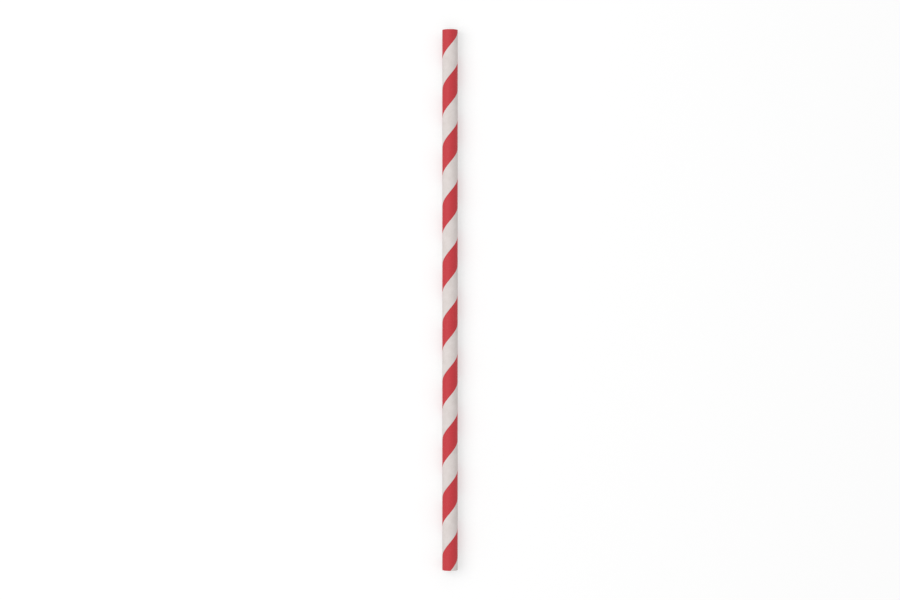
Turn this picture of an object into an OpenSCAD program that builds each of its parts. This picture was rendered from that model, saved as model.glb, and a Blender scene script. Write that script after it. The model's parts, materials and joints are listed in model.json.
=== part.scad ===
// Paper drinking straw, spiral wound.
// Strips of white paper are wound at a fixed angle round a mandrel, each ply
// glued to the one below, and the stiff tube is cut square at both ends. The
// outer strip is printed along one edge and its turns meet edge to edge, so
// winding it draws a single stripe that climbs the tube as a right-handed
// helix. The inner strip is a little narrower, which leaves a fine groove
// between its turns in the bore. Paper gives a little where the straw lies, and
// that leaves a very narrow flat along it. Lengths in mm, angles in degrees.
// The straw lies along Y and rests on the plane z = 0, with its middle above
// the origin. Windings start at the head, the end towards +Y.

/* [Tube] */
// Cut length of the straw
length = 210; // [60:1:260]
// Outside diameter
outer_d = 6; // [4:0.1:14]
// Plies of paper in the wall
ply_count = 3; // [2:1:4]
// Thickness of one ply with its film of glue
ply_t = 0.13; // [0.08:0.01:0.25]
// Depth of the flat that it lies on
flat_depth = 0.03; // [0.02:0.01:0.06]

/* [Winding] */
// Angle between the strips and the straw's axis
wind_angle = 39.75; // [30:0.25:50]
// Where the outer seam starts at the head, clockwise from the top
seam_at = 78.7; // [-180:0.1:180]
// Angle from the outer seam back to the inner one
seam_shift = 130; // [10:1:350]
// Gap between neighbouring turns of the inner strip
inner_gap = 0.16; // [0.05:0.01:0.4]

/* [Print] */
// Printed share of the outer strip's width
print_share = 0.4945; // [0.1:0.0005:0.9]
// Colour of the bare paper
paper_colour = "white"; // [white, ivory, wheat]
// Colour of the printed stripe
stripe_colour = "crimson"; // [crimson, gold, seagreen, darkorange, skyblue]

/* [Hidden] */
outer_r = outer_d / 2;
bore_r = outer_r - ply_count * ply_t;
// Advance along the axis in one full turn of the strips
lead = PI * outer_d / tan(wind_angle);
turns = length / lead;
// Slices to a turn of a wound cutter, fewer where the straw has many turns
seam_slices = min(24, 250 / turns);
stripe_slices = min(20, 200 / turns);
// How far a cutter runs past an end, and past a curved face
past_end = 1;
past_face = 0.1;
$fn = 96;

// Angle that a width covers at radius r, the width measured square to the seam
function span(width, r) = width / cos(wind_angle) / r * 180 / PI;

// Radius of corners a step apart whose straight runs come no nearer than r
function around(r, step) = r / cos(step / 2);

// Corners from angle a to angle b at radius r, in n equal steps
function corners(r, a, b, n) =
    [for (i = [0:n]) let (t = a + (b - a) * i / n) r * [cos(t), sin(t)]];

// Winds a flat shape along the strips. Its angles are those at the head, z = 0
module wound(slices) {
    tall = length + 2 * past_end;
    translate([0, 0, -past_end])
    linear_extrude(tall, twist = -360 * tall / lead,
                   slices = ceil(tall / lead * slices), segments = 0)
    rotate(-360 * past_end / lead)
    children();
}

// All that lies under the printed part of the outer strip. Angle 0 is the seam
module printed_turns() {
    a = -360 * print_share;
    n = ceil(-a / 60);
    r_out = around(around(outer_r, 360 / stripe_slices), a / n);
    wound(stripe_slices)
    polygon(concat(corners(r_out + past_face, a, 0, n),
                   corners(bore_r - past_face, 0, a, 1)));
}

// The groove in the bore, one ply deep, where the inner strip's edges part
module inner_seam() {
    half = span(inner_gap, bore_r) / 2;
    r_out = around(bore_r + ply_t, 360 / seam_slices);
    wound(seam_slices)
    polygon(concat(corners(bore_r - past_face, -half, half, 1),
                   corners(r_out, half, -half, 1)));
}

// The glued plies as one wall
module wall() {
    difference() {
        cylinder(h = length, r = outer_r);
        translate([0, 0, -past_end])
        cylinder(h = length + 2 * past_end, r = bore_r);
    }
}

// What the flat takes away along the whole straw. The bore stays round
module below_flat() {
    translate([-outer_r, -outer_r - past_face, -past_end])
    cube([outer_d, past_face + flat_depth, length + 2 * past_end]);
}

module straw() {
    translate([0, length / 2, outer_r - flat_depth])
    rotate([90, 0, 0])
    difference() {
        rotate(90 + seam_at)
        union() {
            color(paper_colour)
            difference() {
                wall();
                printed_turns();
            }
            color(stripe_colour)
            intersection() {
                wall();
                printed_turns();
            }
        }
        rotate(90 + seam_at - seam_shift)
        inner_seam();
        below_flat();
    }
}

straw();
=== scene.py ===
# %% [markdown]
# # A paper drinking straw, wound from three strips
#
# A paper straw starts as three narrow rolls of paper. On the machine the
# strips run over a glue roller and wind, one on top of the other, round a
# thin steel rod. The tube that grows there is pulled off the rod and cut to
# length by a round knife. Nothing else is added, so the whole character of a
# paper straw lies in four things: the winding angle, the seams where turns
# meet, the print on the outer strip and the fuzzy cut ends.
#
# One could turn a profile into a tube and paint a spiral on it. The tube
# would look right from afar, but the print would not follow the seam, and the
# ends would show one thick wall. Here each strip is wound as a mesh of its
# own, on rows and columns that follow the paper. Stripe, fibres and seams
# then lie where the machine puts them, without any fitting.
#
# The first cell loads the measured model. All its lengths are in metres, and
# paper is easier to think of in millimetres, so the script counts in
# millimetres and turns them to metres where it places a point.

import json
import math

import bpy
import numpy as np
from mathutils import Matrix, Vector


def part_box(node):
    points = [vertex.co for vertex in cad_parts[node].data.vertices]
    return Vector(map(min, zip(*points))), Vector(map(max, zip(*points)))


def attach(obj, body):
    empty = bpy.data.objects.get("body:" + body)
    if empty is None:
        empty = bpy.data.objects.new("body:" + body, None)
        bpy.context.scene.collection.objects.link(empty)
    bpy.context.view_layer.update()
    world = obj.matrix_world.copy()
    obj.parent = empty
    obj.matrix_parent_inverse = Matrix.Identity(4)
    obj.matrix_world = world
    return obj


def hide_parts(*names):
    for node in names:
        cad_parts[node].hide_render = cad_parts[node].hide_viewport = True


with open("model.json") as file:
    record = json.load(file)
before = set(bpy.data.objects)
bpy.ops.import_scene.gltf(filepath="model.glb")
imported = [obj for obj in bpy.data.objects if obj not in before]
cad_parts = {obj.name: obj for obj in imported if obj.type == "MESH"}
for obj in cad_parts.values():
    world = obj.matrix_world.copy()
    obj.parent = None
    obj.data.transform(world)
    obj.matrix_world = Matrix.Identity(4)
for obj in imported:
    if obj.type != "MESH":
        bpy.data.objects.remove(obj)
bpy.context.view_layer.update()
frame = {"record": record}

MM = 0.001  # metres in a millimetre
low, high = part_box("straw")
length = (high.y - low.y) / MM
mounts = {mount["name"]: mount for mount in frame["record"]["mounts"]}
outer_r = mounts["outside"]["dims"]["r_mm"]
bore_r = mounts["bore"]["dims"]["r_mm"]
axis_z = mounts["outside"]["pos_m"][2] / MM
print(f"straw {length:.1f} mm long, {2 * outer_r:.1f} mm outside, {2 * bore_r:.2f} mm inside")

# %% [markdown]
# ## How a strip becomes a tube
#
# Wind a ribbon round a rod and every point of it can be named by two numbers:
# how far down the rod it lies, and how far round it is from the ribbon's
# edge. The edge itself climbs like a screw thread. The distance that it
# climbs in one full turn is the lead. It follows from the angle between strip
# and rod: laid flat, one turn is the long side of a triangle whose short
# sides are the girth of the tube and the lead.
#
# Blender has a Screw modifier and curves that could do this. A formula is
# chosen because three strips, their seams, the print and the flat texture
# map all have to agree, and with a formula they use the same numbers.
#
# Paper gives a little where the straw lies on the table. The measured axis is
# a few hundredths of a millimetre lower than the radius for that reason, and
# whatever would reach below the table is pressed up to it.

# %% Wind a point
WIND_ANGLE = math.radians(39.75)  # between strip and axis
SEAM_AT = 78.7  # degrees from the top to the outer seam, at the head
lead = 2 * math.pi * outer_r / math.tan(WIND_ANGLE)
flat_w = 2 * math.sqrt(outer_r**2 - min(axis_z, outer_r) ** 2)


def wound(down, turn, radius):
    """Points by mm down from the head, degrees round from the outer seam and mm from the axis."""
    angle = np.radians(90 + SEAM_AT + turn) + 2 * np.pi * down / lead
    down, turn, radius = np.broadcast_arrays(down, turn, radius)
    x = radius * np.cos(angle)
    y = length / 2 - down
    z = np.maximum(axis_z + radius * np.sin(angle), 0)
    return np.stack([x, y, z], -1) * MM


print(f"lead {lead:.2f} mm, {length / lead:.2f} turns, flat underneath {flat_w:.2f} mm wide")

# %% [markdown]
# ## The three plies
#
# Every ply is the same kind of paper, about 0.13 mm thick with its film of
# glue. The plies differ in radius, in where their seam lies and in how
# closely the turns meet. The machine staggers the seams, because two seams
# above each other would be a weak line. The outer turns meet edge to edge.
# The inner strip is cut a little narrow, so that its turns never ride up on
# each other, and that leaves a fine groove in the bore.
#
# One wall with two rings drawn on its cut could stand for the plies. They are
# separate here, because then the ends show three edges, each where the knife
# left it, and the groove in the bore is a true one.

# %% Sizes of the plies
PLY_COUNT = 3
GLUE = 0.004  # film of glue between plies, mm
HAIRLINE = 0.02  # between turns that meet edge to edge, mm
INNER_GAP = 0.16  # between turns of the narrower inner strip, mm
MIDDLE_SEAM, INNER_SEAM = -250, -130  # degrees from the outer seam

ply_t = (outer_r - bore_r) / PLY_COUNT
strip_w = 2 * math.pi * outer_r * math.cos(WIND_ANGLE)
plies = {
    "outer_ply": dict(outside=outer_r, seam=0, gap=HAIRLINE, columns=72, shown="outside"),
    "middle_ply": dict(outside=outer_r - ply_t, seam=MIDDLE_SEAM, gap=HAIRLINE, columns=28, shown="inside"),
    "inner_ply": dict(outside=bore_r + ply_t, seam=INNER_SEAM, gap=INNER_GAP, columns=48, shown="inside"),
}
print(f"each ply {ply_t:.3f} mm with its glue, outer strip {strip_w:.2f} mm wide")

# %% [markdown]
# ## Rows and columns that follow the paper
#
# The mesh of a strip is a grid. Its rows lie across the tube, its columns run
# down the tube with the seam. Where the surface is plain the grid can be
# wide, but at a rounded edge it has to be fine: four rows within a few
# hundredths of a millimetre draw the round, and then the rows open out to
# their normal distance. Spacing rows this way costs far fewer faces than a
# fine grid everywhere, and needs no Bevel modifier, which would struggle
# with edges that meet a curved wall.

# %% Spacing of rows and columns
EDGE = 0.03  # how round the slitting knife and the cutter leave an edge, mm
ROW = 0.5  # between rows, where nothing happens, mm
ROUND = EDGE * (1 - np.cos(np.radians([0, 30, 60, 90])))
OPENING_OUT = [0.08, 0.2]  # rows between a rounded edge and the first normal row, mm


def spaced(total, step):
    """Places from 0 to total: fine at both ends, and evenly spaced between."""
    start = np.concatenate([ROUND, OPENING_OUT])
    middle = np.linspace(ROW, total - ROW, round((total - 2 * ROW) / step) + 1)
    return np.concatenate([start, middle, total - start[::-1]])


def sunk(from_edge, from_end):
    """How deep the rounded edge lies below the face, by distance from the edge and from the cut."""
    short = np.clip(EDGE - from_edge, 0, None) ** 2 + np.clip(EDGE - from_end, 0, None) ** 2
    return EDGE - np.sqrt(np.clip(EDGE**2 - short, 0, None))


rows = spaced(length, ROW)
print(f"{len(rows)} rows, the closest {1000 * rows[1]:.0f} micrometres apart")

# %% [markdown]
# ## Places on the flat strip
#
# Unwound, the paper is a plain ribbon. Everything that belongs to the paper
# and not to the tube is measured there: fibres run along it, the print keeps
# its distance from one edge, and the glue makes it ripple. So every point
# needs a second address, on the ribbon before it was wound.
#
# Blender can unwrap a mesh by itself, but its unwrap has no unit. Bending
# paper doesn't stretch it, so the flat place follows exactly from the wound
# one, and one unit of this map is one millimetre of paper.

# %% Place on the flat strip
def strip_place(down, turn):
    """Where a point lies on the flat strip, in mm: along it, and across it from the printed edge."""
    arc = outer_r * np.radians(turn)
    along = down / math.cos(WIND_ANGLE) + arc * math.sin(WIND_ANGLE)
    return np.stack(np.broadcast_arrays(along, -arc * math.cos(WIND_ANGLE)), -1)


print(f"the strip for one straw is {length / math.cos(WIND_ANGLE):.0f} mm long")

# %% [markdown]
# ## What glue and a knife do to the shape
#
# A real straw is not a perfect cylinder. Over the gap of the inner strip the
# outer paper sinks in by about a hundredth of a millimetre, and it does so a
# little less over the middle seam. That is why one can see faint lines
# between the printed ones when light grazes a straw. The wet glue also lets
# the paper swell, so it dries with a very slight ripple. The knife leaves
# each ply at its own height, because the paper is squeezed while it is cut.
#
# A Displace modifier with a cloudy texture could make the ripple, but it
# knows nothing of the seams below. Here all of it is worked out as one depth
# for each point. It only takes material away from the measured outside, so
# the visible straw never gets thicker than the real one. A few waves with
# random phases stand for the ripple. Their seed is fixed, which makes the
# straw come out the same every time.

# %% Relief of the faces
SINKS = ((INNER_SEAM, 0.010), (MIDDLE_SEAM, 0.006))  # seams below, and how deep paper sinks there, mm
SINK_WIDTH = 0.35  # how far to each side of the seam the dip reaches, mm
RIPPLE = 0.0025  # how deep the ripple is on average, mm
RIPPLE_LONG = 9  # the longest wave of the ripple, mm
WAVE_COUNT = 9
WAVE_SHORTEST = 0.3  # the shortest wave, as a share of the longest
SEED = 7
random = np.random.default_rng(SEED)


def waves(along, across, longest):
    """A gentle ripple between -1 and 1, from waves that cross each other."""
    total = 0
    for _ in range(WAVE_COUNT):
        pitch = longest * random.uniform(WAVE_SHORTEST, 1)
        course, phase = random.uniform(0, 2 * np.pi, 2)
        way = along * np.cos(course) + across * np.sin(course)
        total = total + np.sin(2 * np.pi * way / pitch + phase)
    return total / WAVE_COUNT


def relief(down, turn, sinks):
    """How deep a face lies below its true cylinder, in mm."""
    place = strip_place(down, turn)
    depth = RIPPLE * (1 + waves(place[..., 0], place[..., 1], RIPPLE_LONG))
    for seam, deep in sinks:
        at = strip_place(down, (turn - seam + 180) % 360 - 180)[..., 1]
        depth = depth + deep * np.exp(-((at / SINK_WIDTH) ** 2))
    return depth


print(f"paper sinks {1000 * max(deep for _, deep in SINKS):.0f} micrometres over a seam")

# %% The knife's cut
CUT_SHORT, CUT_UNEVEN = 0.0072, 0.0048  # how far a cut comes out short: on average, and give or take, mm
CUT_LONG = 1.2  # the longest wave of a cut, mm


def knife_cut(down, turn, radius):
    """How far the cut moves each point, in mm, fading out within a row of the end."""
    from_end = np.minimum(down, length - down)
    end = np.sign(down - length / 2)
    short = CUT_SHORT + CUT_UNEVEN * waves(radius * np.radians(turn), end, CUT_LONG)
    return -end * short * np.clip(1 - from_end / ROW, 0, 1)


print(f"a cut comes out up to {1000 * (CUT_SHORT + CUT_UNEVEN):.0f} micrometres short")

# %% [markdown]
# ## A flat map for the texture
#
# When the finished straw leaves Blender, its colours are painted onto one
# square picture. An automatic unwrap would cut the long tube into dozens of
# crooked scraps and waste half of the picture. The strip, however, is a
# ribbon already. Cut into four lengths and laid one below the other it nearly
# fills the square, and since the columns run with the seam, the edge of the
# print lies along a row of pixels and stays sharp.
#
# The face that nobody sees, the slit sides and the two cuts get the narrow
# space that is left over. All places are in pixels of a picture 1024 wide.

# %% Places on the map
TEXTURE = 1024
MARGIN = 4
WIDE = TEXTURE - 2 * MARGIN
LENGTHS, LENGTH_TALL, LENGTH_STEP = 4, 230, 236  # how many, how tall, and from one to the next
HIDDEN_Y, HIDDEN_TALL = 950, 36  # the face that nobody sees
SIDE_YS, SIDE_TALL = (992, 1001), 4  # the slit sides
CUT_Y, CUT_TALL, CUT_XS, CUT_WIDE = 1011, 8, (MARGIN, 514), 500  # the two cuts

shown_rects = [(MARGIN, MARGIN + LENGTH_STEP * piece, WIDE, LENGTH_TALL) for piece in range(LENGTHS)]
hidden_rects = [(MARGIN, HIDDEN_Y, WIDE, HIDDEN_TALL)]
side_rects = [[(MARGIN, y, WIDE, SIDE_TALL)] for y in SIDE_YS]
cut_rects = [[(x, CUT_Y, CUT_WIDE, CUT_TALL)] for x in CUT_XS]


def four_corners(grid):
    """The four corners of each cell of a grid."""
    return np.stack([grid[:-1, :-1], grid[1:, :-1], grid[1:, 1:], grid[:-1, 1:]], -1)


def laid_out(first, second, rects):
    """Map places of a grid's quads, the first direction cut into as many pieces as there are rects."""
    shape = len(first), len(second)
    u = four_corners(np.broadcast_to(first[:, None] * len(rects), shape))
    v = four_corners(np.broadcast_to(second[None, :], shape))
    piece = np.clip(np.floor(u.mean(-1, keepdims=True)), 0, len(rects) - 1).astype(int)
    x, y, wide, tall = np.moveaxis(np.array(rects)[piece], -1, 0)
    return np.stack([x + wide * (u - piece), y + tall * v], -1) / TEXTURE


along_pixel = length / math.cos(WIND_ANGLE) / LENGTHS / WIDE
print(f"a pixel is {along_pixel:.3f} mm along the strip and {strip_w / LENGTH_TALL:.3f} mm across it")

# %% [markdown]
# ## From grids to a mesh
#
# A wound strip is a long thin slab: an outer face, an inner face, two slit
# sides and two cuts. One could build six sheets and join them with Merge by
# Distance, but that guesses which points belong together, and it guesses
# wrong where rows are a few thousandths of a millimetre apart. Instead the
# points of the slab are numbered like the grains of a block, by row, column
# and layer, and each side is a grid of such numbers. Sides that meet at an
# edge share the numbers there, so the slab comes out closed, and the points
# inside the block are dropped. Closed matters: a printer or a physics program
# can then tell inside from outside, and light can't leak through.
#
# Two maps go onto the mesh. One gives each corner its place on the flat strip
# in millimetres, for the patterns of the paper. The other is the map of the
# texture picture. Edges sharper than fifty degrees stay sharp in the shading.

# %% Join grids into an object
SHARP = math.radians(50)


def strip_mesh(name, points, places, patches):
    """Joins grids of vertex numbers, each with its turn, material slot and map, into one object."""
    corners, maps, slots = [], [], []
    for grid, flip, slot, at in patches:
        quads = four_corners(grid).reshape(-1, 4)
        at = at.reshape(-1, 4, 2)
        corners.append(quads[:, ::-1] if flip else quads)
        maps.append(at[:, ::-1] if flip else at)
        slots.append(np.full(len(quads), slot))
    corners, maps, slots = map(np.concatenate, (corners, maps, slots))
    used, corners = np.unique(corners, return_inverse=True)
    points, places, corners = points[used], places[used], corners.reshape(-1, 4)

    mesh = bpy.data.meshes.new(name)
    mesh.from_pydata(points, [], corners)
    mesh.polygons.foreach_set("material_index", slots.astype(np.int32))
    mesh.uv_layers.new(name="Strip").data.foreach_set("uv", places[corners.ravel()].ravel())
    mesh.uv_layers.new(name="OFBake").data.foreach_set("uv", maps.ravel())
    return placed(name, mesh)


def placed(name, mesh):
    """Shades a mesh smooth up to its sharp edges and puts it in the scene."""
    mesh.shade_smooth()
    mesh.set_sharp_from_angle(angle=SHARP)
    piece = bpy.data.objects.new(name, mesh)
    bpy.context.scene.collection.objects.link(piece)
    return piece


print(f"edges above {math.degrees(SHARP):.0f} degrees are kept sharp")

# %% [markdown]
# ## Thickness of a ply
#
# Blender's Solidify modifier could give a wound sheet its thickness. Building
# the slab directly lets each of its faces have its own rounding and relief.
# The slab has a few layers, and at the two cuts the layers between its faces
# are pushed in at random, because a knife tears a little at every fibre.
#
# Only a face that shows gets the ripple. A glued face stays a plain cylinder,
# so no ply can poke through its neighbour.

# %% Points of a ply
CUT_ROWS = 3  # across the thickness of a cut
TEAR = 0.006  # how deep the knife tears between fibres, mm
layers = np.linspace(0, 1, CUT_ROWS + 1)


def ply_points(down, across, turn, wide, outside, shown):
    """The points of one strip by row, column and layer, from its outer face to its inner one."""
    round_off = sunk(np.minimum(across, wide - across), np.minimum(down, length - down))
    depth = relief(down, turn, SINKS if shown == "outside" else ())
    top = outside - round_off - depth * (shown == "outside")
    bottom = max(outside - ply_t + GLUE, bore_r) + round_off + depth * (shown == "inside")
    radius = top[..., None] + (bottom - top)[..., None] * layers
    cut_down = np.repeat((down + knife_cut(down, turn, outside))[..., None], len(layers), 2)
    for end, inward in ((0, 1), (-1, -1)):
        cut_down[end, :, 1:-1] += inward * TEAR * random.uniform(0, 1, (len(turn), CUT_ROWS - 1))
    return wound(cut_down, turn[:, None], radius)


print(f"{len(layers)} layers from face to face")

# %% [markdown]
# ## Winding the plies
#
# With its points in place, a ply is six grids of numbers: two faces with the
# paper's own finish, two slit sides and two cuts where the felt is open. The
# face that shows gets the large part of the map. Array and Curve modifiers
# could repeat one turn of a strip, but then every turn would have the same
# ripple, and both ends would need mending. The whole strip is wound at once.

# %% Wind a ply
OUTSIDE, INSIDE, CUT = 0, 1, 2  # the materials of a ply, by slot


def wind_ply(name, outside, seam, gap, columns, shown):
    """The closed mesh of one strip wound round the tube."""
    wide = 2 * math.pi * outside * math.cos(WIND_ANGLE) - gap
    across = spaced(wide, wide / columns)
    turn = seam - np.degrees((across + gap / 2) / math.cos(WIND_ANGLE) / outside)
    down = rows[:, None]
    points = ply_points(down, across, turn, wide, outside, shown)
    places = np.repeat(strip_place(down, turn)[:, :, None], len(layers), 2)

    number = np.arange(points[..., 0].size).reshape(points.shape[:3])
    outer_rects, inner_rects = shown_rects, hidden_rects
    if shown == "inside":
        outer_rects, inner_rects = inner_rects, outer_rects
    run, width = rows / length, across / wide
    patches = [
        (number[:, :, 0], False, OUTSIDE, laid_out(run, width, outer_rects)),
        (number[:, :, -1], True, INSIDE, laid_out(run, width, inner_rects)),
        (number[:, 0], True, CUT, laid_out(run, layers, side_rects[0])),
        (number[:, -1], False, CUT, laid_out(run, layers, side_rects[1])),
        (number[0], False, CUT, laid_out(width, layers, cut_rects[0])),
        (number[-1], True, CUT, laid_out(width, layers, cut_rects[1])),
    ]
    return strip_mesh(name, points.reshape(-1, 3), places.reshape(-1, 2), patches)


pieces = {name: wind_ply(name, **ply) for name, ply in plies.items()}
for name, piece in pieces.items():
    print(f"{name}: {len(piece.data.polygons)} faces")

# %% [markdown]
# ## Fibres at the cut
#
# Paper is a felt of wood fibres, each a millimetre or two long and about
# 0.03 mm thick. The knife cuts most of them, and bends some out instead, so a
# cut end of a straw is never quite clean. Hair particles could draw them, but
# a particle hair has no mesh of its own. Here each fibre is a short, bent
# tube that gets thinner towards its tip, rooted in the wall.

# %% A bent fibre
FIBRE_R = 0.012  # half of its thickness, mm
FIBRE_ROOT = 0.2  # how far one reaches back into the wall, as a share of its reach
FIBRE_REACH = 0.05, 0.22  # how far the shortest and the longest stick out, mm
FIBRE_LEAN = 0.5  # most that one leans or bends aside, as a share of its reach
FIBRE_TIP = 0.3  # how thick the tip is, as a share of the root
FIBRE_SIDES, FIBRE_STEPS = 5, 5  # points round a fibre and rings along it
ALONG = np.array([0, 1, 0])  # the straw's axis


def bent_fibre(down, outward):
    """The rings of points of one bent fibre. outward is 1 at the head and -1 at the other end."""
    turn = random.uniform(-360, 0)
    radius = random.uniform(bore_r + 2 * EDGE, outer_r - 4 * EDGE)
    reach = random.uniform(*FIBRE_REACH)
    lean, bend = random.uniform(-FIBRE_LEAN, FIBRE_LEAN, (2, 2))
    root = wound(down, turn, radius) / MM
    away = (root - [0, root[1], axis_z]) / radius
    around = np.cross(away, ALONG) * outward
    t = np.linspace(-FIBRE_ROOT, 1, FIBRE_STEPS)[:, None]
    aside = (lean[0] * t + bend[0] * t**2) * away + (lean[1] * t + bend[1] * t**2) * around
    centre = root + reach * (outward * t * ALONG + aside)
    centre[:, 2] = np.maximum(centre[:, 2], FIBRE_R)
    ring = np.linspace(0, 2 * np.pi, FIBRE_SIDES, endpoint=False)[:, None]
    hoop = np.cos(ring) * away + np.sin(ring) * around
    thick = FIBRE_R * (1 - (1 - FIBRE_TIP) * np.clip(t, 0, 1))
    return (centre[:, None] + thick[:, None] * hoop) * MM


print(f"a fibre sticks out {FIBRE_REACH[0]} to {FIBRE_REACH[1]} mm")

# %% All the fibres
FIBRES_PER_END = 70


def cut_fibres():
    """All the fibres, as one object of small closed tubes."""
    tubes = []
    for down, outward in ((0, 1), (length, -1)):
        tubes += [bent_fibre(down, outward) for _ in range(FIBRES_PER_END)]
    faces = []
    numbers = np.arange(len(tubes) * FIBRE_STEPS * FIBRE_SIDES).reshape(-1, FIBRE_STEPS, FIBRE_SIDES)
    for number in numbers:
        closed = np.concatenate([number, number[:, :1]], 1)
        faces += four_corners(closed).reshape(-1, 4).tolist()
        faces += [number[0].tolist(), number[-1, ::-1].tolist()]
    mesh = bpy.data.meshes.new("cut_fibres")
    mesh.from_pydata(np.concatenate(tubes).reshape(-1, 3), [], faces)
    return placed("cut_fibres", mesh)


pieces["cut_fibres"] = cut_fibres()
print(f"{2 * FIBRES_PER_END} fibres, {len(pieces['cut_fibres'].data.polygons)} faces")

# %% [markdown]
# ## Helpers for materials
#
# Colours are picked the way a designer picks them, as sRGB hex values, and
# one function turns them to the linear numbers that Blender mixes light with.
# Another function adds a node, sets it and links it in one go, so that a
# material reads from top to bottom like a recipe.

# %% Helpers for materials
FACTOR, COLOUR_A, COLOUR_B = 0, 6, 7  # sockets of a Mix node that mixes colours
NOISE_SPAN = {"From Min": 0.3, "From Max": 0.7}  # between which a noise pattern mostly stays


def linear(code):
    """An sRGB hex colour as linear RGBA."""
    share = [int(code[i : i + 2], 16) / 255 for i in (1, 3, 5)]
    return [c / 12.92 if c <= 0.04045 else ((c + 0.055) / 1.055) ** 2.4 for c in share] + [1]


def fill(tree, socket, value):
    """Gives a socket a fixed value, or links it to a socket or to a node's first output in use."""
    if isinstance(value, bpy.types.Node):
        value = next(output for output in value.outputs if output.enabled)
    if isinstance(value, bpy.types.NodeSocket):
        tree.links.new(value, socket)
    else:
        socket.default_value = value


def add(tree, kind, inputs=None, **settings):
    """Adds a node with its settings and fills its inputs."""
    node = tree.nodes.new(kind)
    for name, value in settings.items():
        setattr(node, name, value)
    for name, value in (inputs or {}).items():
        fill(tree, node.inputs[name], value)
    return node


def new_material(name):
    """A material, its tree, and the Principled shader that sits on its output."""
    material = bpy.data.materials.new(name)
    material.use_nodes = True
    return material, material.node_tree, material.node_tree.nodes["Principled BSDF"]


print(f"half grey, #808080, is {linear('#808080')[0]:.3f} in linear light")

# %% [markdown]
# ## Bleached kraft paper
#
# Straw paper is uncoated kraft, bleached white and sized so that it sheds
# water for a while. Nothing on it shines: its roughness is high and its
# reflections are weak and wide. What the eye takes for paper is a faint
# cloudiness, where the pulp settled more or less densely, and fibres that
# mostly run along the strip, because the paper machine draws them that way.
#
# A scan of paper could be laid over the tube. It would repeat along a strip
# that is almost twenty times as long as it is wide, and blur when one comes
# close. Two noise patterns, one round and one drawn out along the strip, do
# neither.
#
# Both are drawn in millimetres on the flat strip. Real fibres are 0.03 mm
# wide, far below a pixel of this view, so they are drawn as bundles 0.2 mm
# wide.

# %% Paper
PAPER_LIGHT, PAPER_DARK = "#E3DBD8", "#D9D0CC"
PAPER_SPAN = {"From Min": 0.7, "From Max": 1.35}  # sum of both patterns, on the lightest and darkest paper
PAPER_ROUGH = 0.82
PAPER_IOR = 1.5  # cellulose
CLOUDS = {"long": 3.0, "wide": 3.0, "Detail": 3.0}  # of denser pulp, mm
FELT = {"long": 1.6, "wide": 0.2, "Detail": 4.0, "Roughness": 0.65}  # bundles of fibres as drawn, mm
FELT_HEIGHT = 0.008  # how far a bundle stands out, mm


def flecks(tree, place, long, wide, **inputs):
    """A random pattern on the flat strip, with flecks of a given length and width in mm."""
    spot = add(tree, "ShaderNodeVectorMath", {0: place, 1: (1 / long, 1 / wide, 1)}, operation="MULTIPLY")
    return add(tree, "ShaderNodeTexNoise", {"Vector": spot, "Scale": 1.0, **inputs}, noise_dimensions="2D")


def bare_paper(tree):
    """Bare paper as three nodes: place on the strip, felt of fibres, and colour."""
    place = add(tree, "ShaderNodeUVMap", uv_map="Strip")
    cloud = flecks(tree, place, **CLOUDS)
    felt = flecks(tree, place, **FELT)
    both = add(tree, "ShaderNodeMath", {0: cloud, 1: felt}, operation="ADD")
    dense = add(tree, "ShaderNodeMapRange", {"Value": both, **PAPER_SPAN})
    shades = {FACTOR: dense, COLOUR_A: linear(PAPER_LIGHT), COLOUR_B: linear(PAPER_DARK)}
    return place, felt, add(tree, "ShaderNodeMix", shades, data_type="RGBA")


def finish_paper(tree, shader, colour, roughness, height):
    """Fills the shader with what all the papers have."""
    bump = add(tree, "ShaderNodeBump", {"Strength": 1.0, "Distance": FELT_HEIGHT * MM, "Height": height})
    finish = {"Base Color": colour, "Roughness": roughness, "IOR": PAPER_IOR, "Normal": bump}
    for name, value in finish.items():
        fill(tree, shader.inputs[name], value)


def bleached_kraft():
    """The bare paper of the middle and inner plies."""
    material, tree, shader = new_material("bleached_kraft_paper")
    _, felt, colour = bare_paper(tree)
    finish_paper(tree, shader, colour, PAPER_ROUGH, felt)
    return material


kraft = bleached_kraft()
print(f"{kraft.name}: {len(kraft.node_tree.nodes)} nodes")

# %% [markdown]
# ## The edge of a flexo print
#
# The outer strip is printed before it is slit, with a rubber plate and thin
# water-based ink, which is called flexo. Its edge is not quite straight,
# because ink creeps a little way along the fibres, and it is a shade darker
# just inside, because the plate squeezes ink out to its rim.
#
# A wave pattern twisted round the axis could draw the stripe, but its angle
# and its start would have to be fitted to the seam. On the flat strip there
# is nothing to fit: the stripe is every point nearer to the printed edge than
# the print is wide. Winding the strip makes the spiral.

# %% Edge of the print
PRINT_SHARE = 0.4945  # of the strip's width
FRINGES = {"long": 0.5, "wide": 0.5, "Detail": 4.0}  # of ink along the plate's edge, mm
FRINGE_SPAN = {"From Min": 0.2, "From Max": 0.8}  # the pattern where ink creeps least and most
CREEP = {"To Min": -0.035, "To Max": 0.035}  # how far it creeps, mm
BLUR = 0.02  # how soft the ink's edge is, mm
RIM, RIM_SHARE = 0.12, 0.5  # the squeezed edge: how wide, mm, and how much of the rim's colour
print_w = PRINT_SHARE * strip_w


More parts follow.
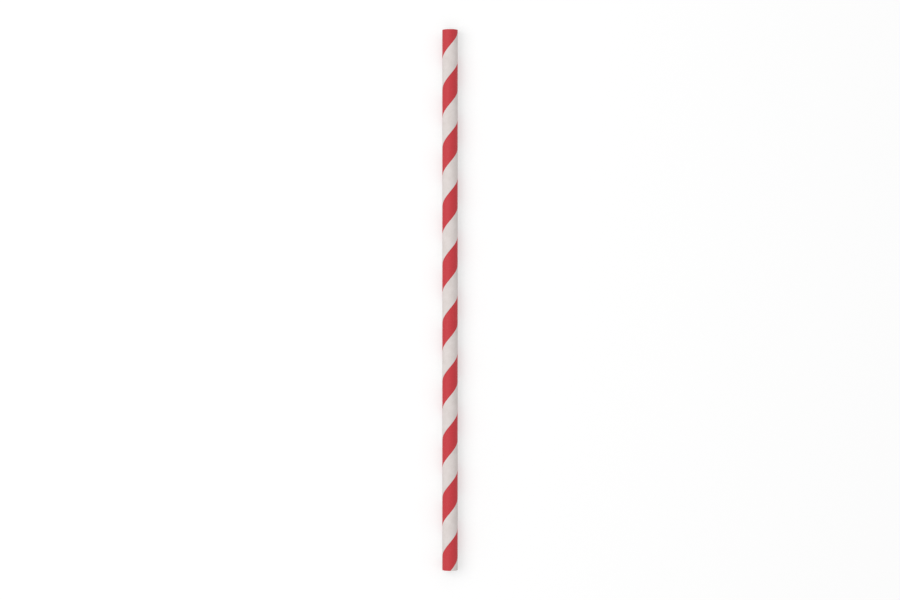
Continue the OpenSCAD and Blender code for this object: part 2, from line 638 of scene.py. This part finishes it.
def print_edge(tree, place):
    """Two nodes: where the plate prints, and how much ink is squeezed to its rim."""
    fringe = flecks(tree, place, **FRINGES)
    creep = add(tree, "ShaderNodeMapRange", {"Value": fringe, **FRINGE_SPAN, **CREEP})
    across = add(tree, "ShaderNodeSeparateXYZ", {0: place}).outputs["Y"]
    at = add(tree, "ShaderNodeMath", {0: across, 1: creep}, operation="ADD")
    blur = {"From Min": print_w - BLUR, "From Max": print_w + BLUR, "To Min": 1.0, "To Max": 0.0}
    inside = add(tree, "ShaderNodeMapRange", {"Value": at, **blur})
    squeeze = {"From Min": print_w - RIM, "From Max": print_w, "To Min": 0.0, "To Max": RIM_SHARE}
    rim = add(tree, "ShaderNodeMapRange", {"Value": at, **squeeze})
    return inside, rim


print(f"print {print_w:.2f} mm wide on a strip of {strip_w:.2f} mm")

# %% [markdown]
# ## Ink
#
# Thin ink is never even. It lies a little thicker in one place than in the
# next, and tiny spots of paper stay paler where a fibre stood too low for the
# plate. One flat red would be enough from afar, and from near it would look
# like plastic. So two close reds are mixed by a mottled pattern, and a second
# pattern, of which only the highest peaks are used, thins the ink in spots.
# The real spots are half as large, which would not show.

# %% Ink
INK_LIGHT, INK_DARK, INK_RIM = "#C93139", "#C12A33", "#B3252F"
MOTTLE = {"long": 0.9, "wide": 0.45, "Detail": 5.0, "Roughness": 0.7}  # patches of thicker ink, mm
SPOTS = {"long": 0.32, "wide": 0.16, "Detail": 1.0}  # spots that took less ink, mm, at twice the real size
SPOT_SPAN = {"From Min": 0.74, "From Max": 0.86}  # the pattern at a spot's edge and in its middle
SPOT_INK = {"To Min": 1.0, "To Max": 0.65}  # how much ink is there


def ink_layer(tree, place, rim):
    """Two nodes: the ink's colour, and how much of it the paper took."""
    mottle = flecks(tree, place, **MOTTLE)
    thick = add(tree, "ShaderNodeMapRange", {"Value": mottle, **NOISE_SPAN})
    shades = {FACTOR: thick, COLOUR_A: linear(INK_LIGHT), COLOUR_B: linear(INK_DARK)}
    ink = add(tree, "ShaderNodeMix", shades, data_type="RGBA")
    rimmed = {FACTOR: rim, COLOUR_A: ink, COLOUR_B: linear(INK_RIM)}
    colour = add(tree, "ShaderNodeMix", rimmed, data_type="RGBA")
    spots = flecks(tree, place, **SPOTS)
    return colour, add(tree, "ShaderNodeMapRange", {"Value": spots, **SPOT_SPAN, **SPOT_INK})


print(f"the ink is {', '.join((INK_LIGHT, INK_DARK, INK_RIM))}")

# %% [markdown]
# ## Printed kraft paper
#
# Water-based ink sinks in, so the fibres still show under it. It also levels
# the surface a little, and so it is slightly less matt than the paper. That
# difference makes the stripe look printed and not dyed. Two materials, one
# for each colour, would need a cut in the mesh along the print and could not
# blend at its edge. One material does both, with the cover of ink as the
# factor for colour, roughness and height alike.

# %% Printed kraft
INK_ROUGH = 0.6
INK_LEVELS = 0.6  # how much of the fibres' height is left under ink


def printed_kraft():
    """The outer strip: bare paper, and one broad line of ink along one edge."""
    material, tree, shader = new_material("flexo_printed_kraft_paper")
    place, felt, paper = bare_paper(tree)
    inside, rim = print_edge(tree, place)
    ink, taken = ink_layer(tree, place, rim)
    cover = add(tree, "ShaderNodeMath", {0: taken, 1: inside}, operation="MULTIPLY")
    coats = {FACTOR: cover, COLOUR_A: paper, COLOUR_B: ink}
    colour = add(tree, "ShaderNodeMix", coats, data_type="RGBA")
    matt = add(tree, "ShaderNodeMapRange", {"Value": cover, "To Min": PAPER_ROUGH, "To Max": INK_ROUGH})
    level = add(tree, "ShaderNodeMapRange", {"Value": cover, "To Min": 1.0, "To Max": INK_LEVELS})
    height = add(tree, "ShaderNodeMath", {0: felt, 1: level}, operation="MULTIPLY")
    finish_paper(tree, shader, colour, matt, height)
    return material


printed = printed_kraft()
print(f"{printed.name}: {len(printed.node_tree.nodes)} nodes")

# %% [markdown]
# ## Cut and slit edges
#
# Where paper is cut across, one looks at the ends of fibres. They scatter
# light deep in the sheet, so the edge looks a shade darker and warmer than
# the face, and rougher than anything else on the straw. Subsurface scattering
# could work that out, but in a wall this thin it costs time and shows little.
# Two warmer whites are mixed instead. The pattern is fixed in space and not
# on the strip, because a cut runs across all three strips.

# %% Cut edges
CUT_LIGHT, CUT_DARK = "#E2D9D2", "#CFC5BC"
CUT_ROUGH = 0.9
TUFT = 0.06  # across a tuft of fibre ends, mm, drawn at twice the real size
TUFT_DETAIL = 3.0


def cut_paper():
    """Paper where the knife went through."""
    material, tree, shader = new_material("cut_paper_edge")
    place = add(tree, "ShaderNodeTexCoord").outputs["Object"]
    tufts = {"Vector": place, "Scale": 1 / (TUFT * MM), "Detail": TUFT_DETAIL}
    grain = add(tree, "ShaderNodeTexNoise", tufts)
    deep = add(tree, "ShaderNodeMapRange", {"Value": grain, **NOISE_SPAN})
    shades = {FACTOR: deep, COLOUR_A: linear(CUT_LIGHT), COLOUR_B: linear(CUT_DARK)}
    colour = add(tree, "ShaderNodeMix", shades, data_type="RGBA")
    finish_paper(tree, shader, colour, CUT_ROUGH, grain)
    return material


cut = cut_paper()
print(f"{cut.name}: {len(cut.node_tree.nodes)} nodes")

# %% [markdown]
# ## Putting the paper on
#
# Each piece now gets its materials in the order of its slots: the outer face,
# the inner face and the cuts. Only the outer face of the outer strip is
# printed. A separate object for each finish would do the same and would tear
# the closed plies apart.
#
# Each piece rides on a moving body, and the plies take the place of the measured straw, which is hidden. A
# straw has no moving parts, so all ride on the root.

# %% Put the paper on
finishes = {"outer_ply": [printed, kraft, cut], "cut_fibres": [cut]}
for name, piece in pieces.items():
    for material in finishes.get(name, [kraft, kraft, cut]):
        piece.data.materials.append(material)
    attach(piece, "root")
    if name in plies:
        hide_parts("straw")
print("materials:", ", ".join(material.name for material in (kraft, printed, cut)))

# %% [markdown]
# ## A white table
#
# The straw lies on a sheet of white card, so large that its edge never
# shows. A sheet that is bright enough to look white would throw a lot of
# light back up and turn the straw's shaded side flat, and red light from the
# stripe would colour it. A shadow catcher would avoid that, but it leaves
# nothing around the shadow. So the card is a light grey to the straw, and
# only the camera sees it turned up to white. It still keeps its soft shadow.

# %% Table
CARD = "#CFCFCF"
CARD_GLOW = 0.42  # added for the camera, where 1 is white
CARD_SIZE = 40.0  # m


def looked_at(tree):
    """1 for rays of the camera, of reflections and through glass, and 0 for light on its way."""
    path = add(tree, "ShaderNodeLightPath")
    seen = path.outputs["Is Camera Ray"]
    for kind in ("Is Glossy Ray", "Is Transmission Ray"):
        seen = add(tree, "ShaderNodeMath", {0: seen, 1: path.outputs[kind]}, operation="MAXIMUM")
    return seen


def table():
    """A white card under the straw."""
    mesh = bpy.data.meshes.new("table")
    half = CARD_SIZE / 2
    corners = [(-half, -half, 0), (half, -half, 0), (half, half, 0), (-half, half, 0)]
    mesh.from_pydata(corners, [], [(0, 1, 2, 3)])
    material, tree, shader = new_material("white_card")
    fill(tree, shader.inputs["Base Color"], linear(CARD))
    fill(tree, shader.inputs["Roughness"], 1.0)
    fill(tree, shader.inputs["Specular IOR Level"], 0.0)
    glow = add(tree, "ShaderNodeMath", {0: looked_at(tree), 1: CARD_GLOW}, operation="MULTIPLY")
    light = add(tree, "ShaderNodeEmission", {"Strength": glow})
    both = add(tree, "ShaderNodeAddShader", {0: shader, 1: light})
    fill(tree, tree.nodes["Material Output"].inputs["Surface"], both)
    mesh.materials.append(material)
    card = bpy.data.objects.new("table", mesh)
    bpy.context.scene.collection.objects.link(card)
    return card


table()
print(f"table {CARD_SIZE:.0f} m wide, reflects {100 * linear(CARD)[0]:.0f}% of the light")

# %% [markdown]
# ## Light
#
# One large soft lamp stands on the left, so the tube is a shade lighter
# there and falls off to the right, which is what makes it read as round. The
# rest of the light comes evenly from the sky of the scene. A picture of a
# studio could light it too, but paper has no gloss in which a studio would
# show, and two plain lights are easier to balance.
#
# Together they are kept at the level at which a colour comes out about as it
# is written. To the camera the sky has the tone of the far table, so no
# horizon line shows when one looks at the straw from the side.

# %% Light
SKY = 0.74  # strength, where 1 lights a white card to white
LAMP_POWER = 2.5  # W
LAMP_SIZE = 0.6  # m
LAMP_AT = Vector((-0.56, 0.1, 0.68))  # m


def soft_lamp():
    """A large square lamp on the left that looks at the straw's middle."""
    lamp = bpy.data.lights.new("lamp", "AREA")
    lamp.size = LAMP_SIZE
    lamp.energy = LAMP_POWER
    stand = bpy.data.objects.new("lamp", lamp)
    stand.visible_camera = False
    stand.location = LAMP_AT
    stand.rotation_euler = (-LAMP_AT).to_track_quat("-Z", "Y").to_euler()
    bpy.context.scene.collection.objects.link(stand)


def even_sky():
    """A world that lights evenly and looks like the far table."""
    world = bpy.data.worlds.new("sky")
    world.use_nodes = True
    tree = world.node_tree
    far_table = linear(CARD)[0] * SKY + CARD_GLOW
    levels = {"Value": looked_at(tree), "To Min": SKY, "To Max": far_table}
    strength = add(tree, "ShaderNodeMapRange", levels)
    fill(tree, tree.nodes["Background"].inputs["Strength"], strength)
    fill(tree, tree.nodes["Background"].inputs["Color"], (1, 1, 1, 1))
    bpy.context.scene.world = world
    return far_table


soft_lamp()
print(f"the sky lights at {SKY} and looks like {even_sky():.2f}")
bpy.context.scene.view_settings.view_transform = "Standard"

# %% [markdown]
# ## Camera
#
# The straw is seen from straight above, head up, and fills most of the
# picture's height. An orthographic camera would draw both ends alike, but a
# straw in a photograph is seen through a lens. A long lens far away comes
# close to it. How far the camera stands follows from similar triangles:
# picture height on the sensor to focal length, as straw length to distance.

# %% Camera
LENS, SENSOR = 85, 36  # mm, the sensor along the picture's long side
PICTURE_WIDE, PICTURE_TALL = 900, 600
FILLS = 0.9  # how much of the picture's height the straw takes

sensor_tall = SENSOR * PICTURE_TALL / PICTURE_WIDE
distance = length / FILLS * LENS / sensor_tall * MM
camera = bpy.data.cameras.new("camera")
camera.lens = LENS
camera.sensor_width = SENSOR
tripod = bpy.data.objects.new("camera", camera)
tripod.location = (0, 0, axis_z * MM + distance)
bpy.context.scene.collection.objects.link(tripod)
bpy.context.scene.camera = tripod
print(f"camera {distance:.3f} m above the straw")

# %% [markdown]
# ## Update the scene
#
# Blender works out the box of a new mesh only when the scene is updated, so the script ends with an update.

# %% Update the scene
bpy.context.view_layer.update()
